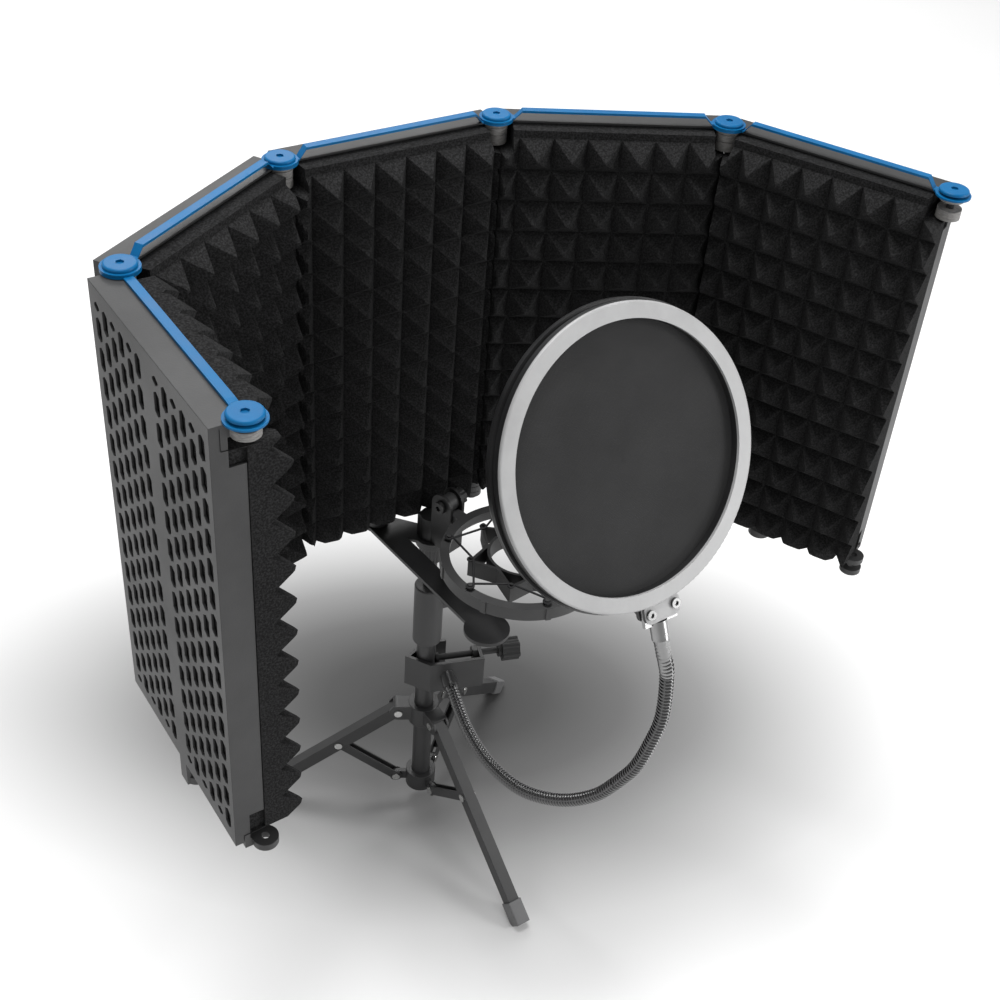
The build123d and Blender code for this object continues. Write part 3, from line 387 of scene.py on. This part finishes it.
def paint_cad_nodes():
    for number in range(1, 6):
        paint(f"panel_{number}_shell", shell_steel)
        paint(f"link_bar_{number}", blue)
        paint(f"hinge_screws_{number}", screw_blue)
    for number in range(1, 4):
        paint(f"leg_{number}", stand_steel)
        paint(f"brace_{number}", stand_steel)
        paint(f"foot_cap_{number}", grey_plastic)
        paint(f"leg_rivet_{number}", bright_steel)
    for name in ("lower_tube", "upper_tube", "end_collar", "leg_hub", "filter_clamp"):
        paint(name, stand_steel)
    for name in ("support_bar", "thread_adaptor"):
        paint(name, bracket_steel)
    for name in ("support_bolt", "collar_rivets", "hub_rivets"):
        paint(name, bright_steel)
    paint("filter_screws", neck_steel)
    for name in ("height_lock_collar", "mount_ring"):
        paint(name, dark_plastic)
    for name in ("height_lock_screw", "clamp_screw", "mount_base", "mount_cradle", "tilt_screw"):
        paint(name, black_plastic)
    paint("gooseneck_upper", ferrule_steel)
    paint("filter_front_ring", silver_plastic)
    paint("filter_rear_ring", rear_plastic)


# ------------------------------------------------------------------ meshes
weld = 0.01 * MM                 # points closer than this become one


def new_piece(name, points, faces, material, smooth=True):
    mesh = bpy.data.meshes.new(name)
    mesh.from_pydata([tuple(point) for point in points], [], faces)
    mesh.validate()
    clean = bmesh.new()
    clean.from_mesh(mesh)
    bmesh.ops.remove_doubles(clean, verts=clean.verts, dist=weld)
    bmesh.ops.dissolve_degenerate(clean, edges=clean.edges, dist=weld)
    bmesh.ops.recalc_face_normals(clean, faces=clean.faces)
    clean.to_mesh(mesh)
    clean.free()
    mesh.update()
    mesh.materials.append(material)
    for polygon in mesh.polygons:
        polygon.use_smooth = smooth
    piece = bpy.data.objects.new(name, mesh)
    bpy.context.collection.objects.link(piece)
    return piece


def frame_along(path):
    """A pair of steady side vectors at each point of a path."""
    ways = []
    for number in range(len(path)):
        before = path[max(number - 1, 0)]
        after = path[min(number + 1, len(path) - 1)]
        ways.append((after - before).normalized())
    side = ways[0].orthogonal().normalized()
    frames = []
    for way in ways:
        side = (side - way * side.dot(way)).normalized()
        frames.append((side, way.cross(side)))
    return frames


def tube(name, path, radii, material, sides=24):
    """A closed tube along a path, with a radius at each of its points."""
    points = []
    faces = []
    frames = frame_along(path)
    for centre, radius, (side, up) in zip(path, radii, frames):
        for step in range(sides):
            angle = 2 * math.pi * step / sides
            points.append(centre + (side * math.cos(angle) + up * math.sin(angle)) * radius)
    for ring in range(len(path) - 1):
        for step in range(sides):
            a = ring * sides + step
            b = ring * sides + (step + 1) % sides
            faces.append((a, b, b + sides, a + sides))
    faces.append(tuple(reversed(range(sides))))
    last = (len(path) - 1) * sides
    faces.append(tuple(range(last, last + sides)))
    return new_piece(name, points, faces, material)


def smooth_path(corners, spacing):
    """Points at even spacing on a smooth curve through the corners."""
    ends = [corners[0] * 2 - corners[1], *corners, corners[-1] * 2 - corners[-2]]
    dense = []
    for number in range(1, len(ends) - 2):
        p0, p1, p2, p3 = ends[number - 1:number + 3]
        for step in range(40):
            t = step / 40
            dense.append(
                0.5 * (
                    2 * p1
                    + (p2 - p0) * t
                    + (2 * p0 - 5 * p1 + 4 * p2 - p3) * t * t
                    + (3 * p1 - p0 - 3 * p2 + p3) * t * t * t
                )
            )
    dense.append(corners[-1])
    path = [dense[0]]
    wait = spacing
    for here, there in zip(dense, dense[1:]):
        run = (there - here).length
        while run > 0 and wait <= run:
            here = here + (there - here) * (wait / run)
            run = (there - here).length
            path.append(here)
            wait = spacing
        wait -= run
    return path


# ------------------------------------------------------------------ foam
panel_pitch = 160 * MM
foam_top = 307.5 * MM
foam_bottom = 4.1 * MM
foam_back = 17.2 * MM
foam_valley = -11.5 * MM
foam_tip = -26.6 * MM
pyramid_up = 23.3 * MM
foam_gap = 0.15 * MM             # from a hinge line to the foam in front of the tray
foam_inset = 2.6 * MM            # from a hinge line to the foam inside the tray
foam_step = -0.35 * MM           # the foam is wider in front of this depth
foam_wobble = 0.3 * MM
ridge_rounding = 0.06            # in pyramid heights
tip_start = 0.93                 # in pyramid heights; the tip is blunter above it
tip_cut = 0.6
first_apexes = (298.4, 290.7, 290.7, 290.7, 290.7)      # height of each panel's top row, above eye level
first_valleys = (13.5, 15.0, 16.0, 16.0, 17.6)          # along each panel, from its left hinge line
pyramid_lengths = (23.3, 23.2, 22.8, 23.2, 21.8)        # spacing of the valleys along each panel
cells = 16                       # mesh cells across one pyramid
pocket = 10.5 * MM               # the foam is cut away this close to a hinge line, by the ears
pocket_depth = 13.5 * MM
lower_ears_top = 10 * MM
upper_ears_bottom = 293.5 * MM


def pyramid_height(across, rise):
    """0 in the valleys and 1 at the tips, given the place in whole pyramids from a valley crossing."""
    if rise > 0:
        return 0.0
    u = abs(across % 1 - 0.5) * 2
    v = abs(rise % 1 - 0.5) * 2
    ridge = max(u, v) + ridge_rounding * max(0.0, 1 - abs(u - v) / ridge_rounding) ** 2 / 4
    height = 1 - ridge
    tip = max(0.0, height - tip_start)
    return max(height - tip * tip_cut, 0.0)


def foam_front(along, up, left_bend, right_bend, height):
    """How far out the foam's front is; a hinge's bevel and the hinge pockets cut it back."""
    wobble = noise.noise(Vector((along, up, left_bend + 3 * right_bend)) * 60) * foam_wobble
    front = foam_valley + (foam_tip - foam_valley) * height + wobble
    for distance, bend in ((along, left_bend), (panel_pitch - along, right_bend)):
        if bend:
            front = max(front, -(distance - foam_gap) / math.tan(math.radians(bend / 2)))
        near_ears = up < lower_ears_top or up > upper_ears_bottom
        if distance < pocket and near_ears:
            front = pocket_depth
    return front


def grid_between(low, high, anchor, step):
    """The two limits and every grid line that lies well between them."""
    lines = [low, high]
    first = math.ceil((low + 0.3 * MM - anchor) / step)
    last = math.floor((high - 0.3 * MM - anchor) / step)
    lines += [anchor + step * number for number in range(first, last + 1)]
    return sorted(lines)


def make_foam(number):
    """One panel's foam block; its pyramids' faces are split along their ridges."""
    start = hinge_lines[number - 1]
    along_way = (hinge_lines[number] - start).normalized()
    outward = Vector((-along_way.y, along_way.x, 0))
    left_bend = largest_bends[number - 1]
    right_bend = largest_bends[number]
    length = pyramid_lengths[number - 1] * MM
    valley = first_valleys[number - 1] * MM
    crossing = first_apexes[number - 1] * MM + pyramid_up / 2
    alongs = grid_between(foam_gap, panel_pitch - foam_gap, valley, length / cells)
    ups = grid_between(foam_bottom, foam_top, crossing, pyramid_up / cells)
    points = []
    for up in ups:
        for along in alongs:
            height = pyramid_height((along - valley) / length, (up - crossing) / pyramid_up)
            depth = foam_front(along, up, left_bend, right_bend, height)
            points.append(start + along_way * along + outward * depth + Vector((0, 0, up)))
    wide = len(alongs)
    faces = []
    for row in range(len(ups) - 1):
        for column in range(wide - 1):
            a = row * wide + column
            b, c, d = a + 1, a + wide + 1, a + wide
            middle = (alongs[column] + alongs[column + 1]) / 2 - valley
            rise = (ups[row] + ups[row + 1]) / 2 - crossing
            if (middle / length % 1 - 0.5) * (rise / pyramid_up % 1 - 0.5) > 0:
                faces += [(a, b, c), (a, c, d)]
            else:
                faces += [(a, b, d), (b, c, d)]
    edge = list(range(wide))
    edge += [row * wide + wide - 1 for row in range(1, len(ups))]
    edge += [(len(ups) - 1) * wide + column for column in range(wide - 2, -1, -1)]
    edge += [row * wide for row in range(len(ups) - 2, 0, -1)]
    count = len(edge)
    loops = [edge]
    for inset, depth in ((foam_gap, foam_step), (foam_inset, foam_step), (foam_inset, foam_back)):
        loop = []
        for index in edge:
            flat = points[index] - start
            along = min(max(flat.dot(along_way), inset), panel_pitch - inset)
            out = max(depth, flat.dot(outward))
            loop.append(len(points))
            points.append(start + along_way * along + outward * out + Vector((0, 0, flat.z)))
        loops.append(loop)
    for near, far in zip(loops, loops[1:]):
        for step in range(count):
            following = (step + 1) % count
            faces.append((near[following], near[step], far[step], far[following]))
    faces.append(tuple(loops[-1]))
    piece = new_piece(f"foam_pyramids_{number}", points, faces, foam, smooth=False)
    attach(piece, panel_bodies[number - 1])
    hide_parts(f"panel_{number}_foam")


# ------------------------------------------------------------------ gooseneck
neck_radius = 5.3 * MM
rib_pitch = 3.0 * MM
rib_depth = 1.3 * MM
collar_radius = neck_radius + 0.2 * MM


def ribbed(name, corners, collar=0.0):
    """A flexible metal hose: even rounded ribs, and a smooth collar at its start if one is asked for."""
    spacing = rib_pitch / 6
    path = smooth_path(corners, spacing)
    radii = []
    for number in range(len(path)):
        way = number * spacing
        rib = abs(math.sin(math.pi * way / rib_pitch))
        radius = neck_radius - rib_depth * (1 - rib) ** 1.5
        if way < collar:
            radius = collar_radius
        radii.append(radius)
    return tube(name, path, radii, neck_steel, 28)


def make_gooseneck():
    """The hose in two lengths, each running through one of its two hinges."""
    low_joint = joint_place("neck_bend")
    high_joint = joint_place("filter_tilt")
    lower = [
        from_shield(39.0, -50.5, -163.5),
        from_shield(36.9, -62.0, -168.0),
        from_shield(31.5, -88.0, -173.5),
        from_shield(28.5, -116.0, -176.0),
        from_shield(28.3, -144.0, -174.0),
        from_shield(31.0, -172.5, -167.0),
        low_joint,
        from_shield(44.0, -219.0, -139.0),
        from_shield(52.0, -238.0, -117.5),
        from_shield(57.5, -250.5, -95.0),
    ]
    upper = [
        from_shield(57.5, -250.5, -95.0),
        from_shield(62.5, -261.0, -71.0),
        from_shield(66.5, -267.5, -42.0),
        from_shield(69.5, -271.0, -12.0),
        high_joint,
        from_shield(65.2, -265.6, 43.8),
        from_shield(63.2, -263.3, 54.5),
    ]
    low = ribbed("neck_hose_lower", lower, collar=4 * MM)
    high = ribbed("neck_hose_upper", upper)
    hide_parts("gooseneck_lower")
    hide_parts("gooseneck_middle")
    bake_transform(low)
    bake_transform(high)


# ------------------------------------------------------------------ pop filter screen
screen_radius = 93.5 * MM
screen_front = -7.65 * MM        # from the filter's centre, along its normal
screen_back = -8.3 * MM
screen_sag = 0.5 * MM
screen_ripple = 0.12 * MM


def in_filter(across, up, out):
    return filter_centre + filter_across * across + filter_up * up + filter_normal * out


def make_screen():
    """The stretched screen, a closed thin disc that sags a little and ripples near its rim."""
    rings = 46
    sides = 144
    points = []
    for face in (screen_front, screen_back):
        points.append(in_filter(0, 0, face))
        for ring in range(1, rings + 1):
            reach = screen_radius * ring / rings
            for step in range(sides):
                angle = 2 * math.pi * step / sides
                slack = 1 - (ring / rings) ** 2
                ripple = screen_ripple * math.sin(9 * angle) * (ring / rings) ** 3 * (1 - ring / rings) * 4
                out = face - screen_sag * slack + ripple
                points.append(in_filter(reach * math.cos(angle), reach * math.sin(angle), out))
    faces = []
    for layer in (0, 1):
        base = layer * (1 + rings * sides)
        for step in range(sides):
            following = (step + 1) % sides
            faces.append((base, base + 1 + step, base + 1 + following))
        for ring in range(rings - 1):
            for step in range(sides):
                following = (step + 1) % sides
                a = base + 1 + ring * sides + step
                b = base + 1 + ring * sides + following
                faces.append((a, a + sides, b + sides, b))
    top = 1 + (rings - 1) * sides
    bottom = top + 1 + rings * sides
    for step in range(sides):
        following = (step + 1) % sides
        faces.append((top + step, bottom + step, bottom + following, top + following))
    piece = new_piece("filter_screen", points, faces, screen)
    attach(piece, "filter")
    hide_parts("filter_mesh")


# ------------------------------------------------------------------ elastic cord of the shock mount
lobes = 6
cradle_peg = 40 * MM             # radius of the circle of pegs
ring_peg = 56.2 * MM
cord = 0.85 * MM                 # half the cord's thickness
cradle_turn = 1.2 * MM + cord    # radius of the cord's turn round a peg
ring_turn = 1.6 * MM + cord


def ring_frame():
    """The mount's centre, the level direction to it from its tilt joint, and the one across."""
    centre = Vector(mounts["microphone"]["pos_m"])
    tilt = joint_place("mount_tilt")
    way = Vector((centre.x - tilt.x, centre.y - tilt.y, 0)).normalized()
    side = Vector((-way.y, way.x, 0))
    return centre, way, side


def loop_round(name, centre, reach, body):
    """One turn of cord round a peg."""
    points = []
    faces = []
    count = 24
    sides = 12
    for step in range(count):
        angle = 2 * math.pi * step / count
        out = Vector((math.cos(angle), math.sin(angle), 0))
        here = centre + out * reach
        for turn in range(sides):
            angle = 2 * math.pi * turn / sides
            points.append(here + (out * math.cos(angle) + Vector((0, 0, 1)) * math.sin(angle)) * cord)
    for ring in range(count):
        for turn in range(sides):
            a = ring * sides + turn
            b = ring * sides + (turn + 1) % sides
            c = ((ring + 1) % count) * sides + (turn + 1) % sides
            d = ((ring + 1) % count) * sides + turn
            faces.append((a, b, c, d))
    piece = new_piece(name, points, faces, elastic)
    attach(piece, body)


def make_elastics():
    """The cord's turns round the pegs and its straight strands between cradle and ring."""
    centre, way, side = ring_frame()
    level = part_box("mount_elastics")[0].z + cord + 0.05 * MM
    first = None

    def at(reach, turns):
        angle = 2 * math.pi * turns / lobes
        spot = centre + (way * math.cos(angle) + side * math.sin(angle)) * reach
        return Vector((spot.x, spot.y, level))

    for number in range(lobes):
        tip = at(cradle_peg, number)
        loop_round(f"cord_loop_cradle_{number}", tip, cradle_turn, "cradle")
        loop_round(f"cord_loop_ring_{number}", at(ring_peg, number + 0.5), ring_turn, "ring")
        for turn in (-0.5, 0.5):
            peg = at(ring_peg, number + turn)
            run = (peg - tip).normalized()
            across = Vector((-run.y, run.x, 0)) * (1 if turn > 0 else -1)
            start = tip + across * cradle_turn
            end = peg + across * ring_turn
            steps = 16
            path = [start + (end - start) * (step / steps) for step in range(steps + 1)]
            name = f"cord_strand_{number}_{0 if turn < 0 else 1}"
            piece = tube(name, path, [cord] * len(path), elastic, 12)
            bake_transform(piece)
            if first is None:
                first = piece
    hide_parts("mount_elastics")


# ------------------------------------------------------------------ stage, light and camera
floor_half = 6.0
floor_tone = 0.87
shadow_centre = Vector((0.073, 0.184, 0))
shadow_turn = math.radians(28)       # clockwise from the x axis, seen from above
shadow_size = (0.6625, 0.4)          # half its length and width
shadow_fade = (                      # part of the way from its centre to its rim, and the floor's tone there
    (0.0, 0.05),
    (0.16, 0.08),
    (0.28, 0.14),
    (0.4, 0.26),
    (0.52, 0.45),
    (0.68, 0.68),
    (0.88, 0.84),
    (1.0, floor_tone),
)


def soft_shadow(nodes, links, plain):
    """The photo's wide soft shadow, darkest behind the column and fading into the plain floor."""
    place = nodes.new("ShaderNodeMapping")
    place.vector_type = "TEXTURE"
    place.inputs["Location"].default_value = shadow_centre
    place.inputs["Rotation"].default_value = (0, 0, -shadow_turn)
    place.inputs["Scale"].default_value = (*shadow_size, 1)
    links.new(object_coordinates(nodes, links), place.inputs["Vector"])
    distance = nodes.new("ShaderNodeVectorMath")
    distance.operation = "LENGTH"
    links.new(place.outputs["Vector"], distance.inputs[0])
    fade = nodes.new("ShaderNodeValToRGB")
    ramp = fade.color_ramp
    for position, _ in shadow_fade[1:-1]:
        ramp.elements.new(position)
    for element, (position, tone) in zip(ramp.elements, shadow_fade):
        element.position = position
        share = tone / floor_tone
        element.color = (share, share, share, 1)
    links.new(distance.outputs["Value"], fade.inputs["Fac"])
    darken = nodes.new("ShaderNodeMix")
    darken.data_type = "RGBA"
    darken.blend_type = "MULTIPLY"
    darken.inputs["Factor"].default_value = 1
    links.new(plain, darken.inputs["A"])
    links.new(fade.outputs["Color"], darken.inputs["B"])
    return darken.outputs["Result"]


def make_stage():
    """A plain light floor with the soft shadow."""
    corners = [Vector((x, y, 0)) * floor_half for x, y in ((-1, -1), (1, -1), (1, 1), (-1, 1))]
    material, nodes, links, shader = new_material("floor")
    slow = noise_texture(nodes, links, object_coordinates(nodes, links), 1.5, 2)
    plain = color_between(nodes, links, slow, (0.86, 0.86, 0.86), (0.88, 0.88, 0.88))
    links.new(soft_shadow(nodes, links, plain), shader.inputs["Base Color"])
    shader.inputs["Roughness"].default_value = 0.9
    shader.inputs["Specular IOR Level"].default_value = 0.1
    floor = new_piece("floor", corners, [(0, 1, 2, 3)], material, smooth=False)


light_aim = Vector((0, 0, 0.35))


def area_light(name, place, size, power, aim=light_aim):
    data = bpy.data.lights.new(name, "AREA")
    data.shape = "DISK"
    data.size = size
    data.energy = power
    light = bpy.data.objects.new(name, data)
    light.location = place
    light.rotation_euler = (aim - place).to_track_quat("-Z", "Y").to_euler()
    bpy.context.collection.objects.link(light)


def make_light():
    world = bpy.data.worlds.new("studio")
    bpy.context.scene.world = world
    world.use_nodes = True
    background = world.node_tree.nodes["Background"]
    background.inputs["Color"].default_value = (1, 1, 1, 1)
    background.inputs["Strength"].default_value = 0.5
    area_light("top", Vector((0.0, 0.4, 2.8)), 1.3, 60)
    area_light("behind", Vector((0.9, 2.6, 2.2)), 1.6, 34, aim=Vector((0.9, 2.6, 0)))
    area_light("left", Vector((-2.2, -1.2, 1.3)), 1.0, 6)
    area_light("front", Vector((1.7, -1.6, 1.6)), 0.8, 19)
    area_light("low", Vector((1.5, -1.7, 0.35)), 0.7, 12)


camera_azimuth = math.radians(54.86)
camera_down = math.radians(37.93)
camera_roll = math.radians(4.76)
camera_place = from_shield(-446.2, -789.2, 724.4)
camera_lens = 53.5
sensor_width = 36


def make_camera():
    flat = Vector((math.cos(camera_azimuth), math.sin(camera_azimuth), 0))
    forward = flat * math.cos(camera_down) - Vector((0, 0, math.sin(camera_down)))
    level = Vector((flat.y, -flat.x, 0))
    upright = level.cross(forward)
    right = level * math.cos(camera_roll) + upright * math.sin(camera_roll)
    up = right.cross(forward)
    data = bpy.data.cameras.new("camera")
    data.sensor_width = sensor_width
    data.lens = camera_lens
    camera = bpy.data.objects.new("camera", data)
    turn = Matrix((right, up, -forward)).transposed().to_4x4()
    camera.matrix_world = Matrix.Translation(camera_place) @ turn
    bpy.context.collection.objects.link(camera)
    bpy.context.scene.camera = camera


paint_cad_nodes()
for panel_number in range(1, 6):
    make_foam(panel_number)
make_gooseneck()
make_screen()
make_elastics()
make_stage()
make_light()
make_camera()
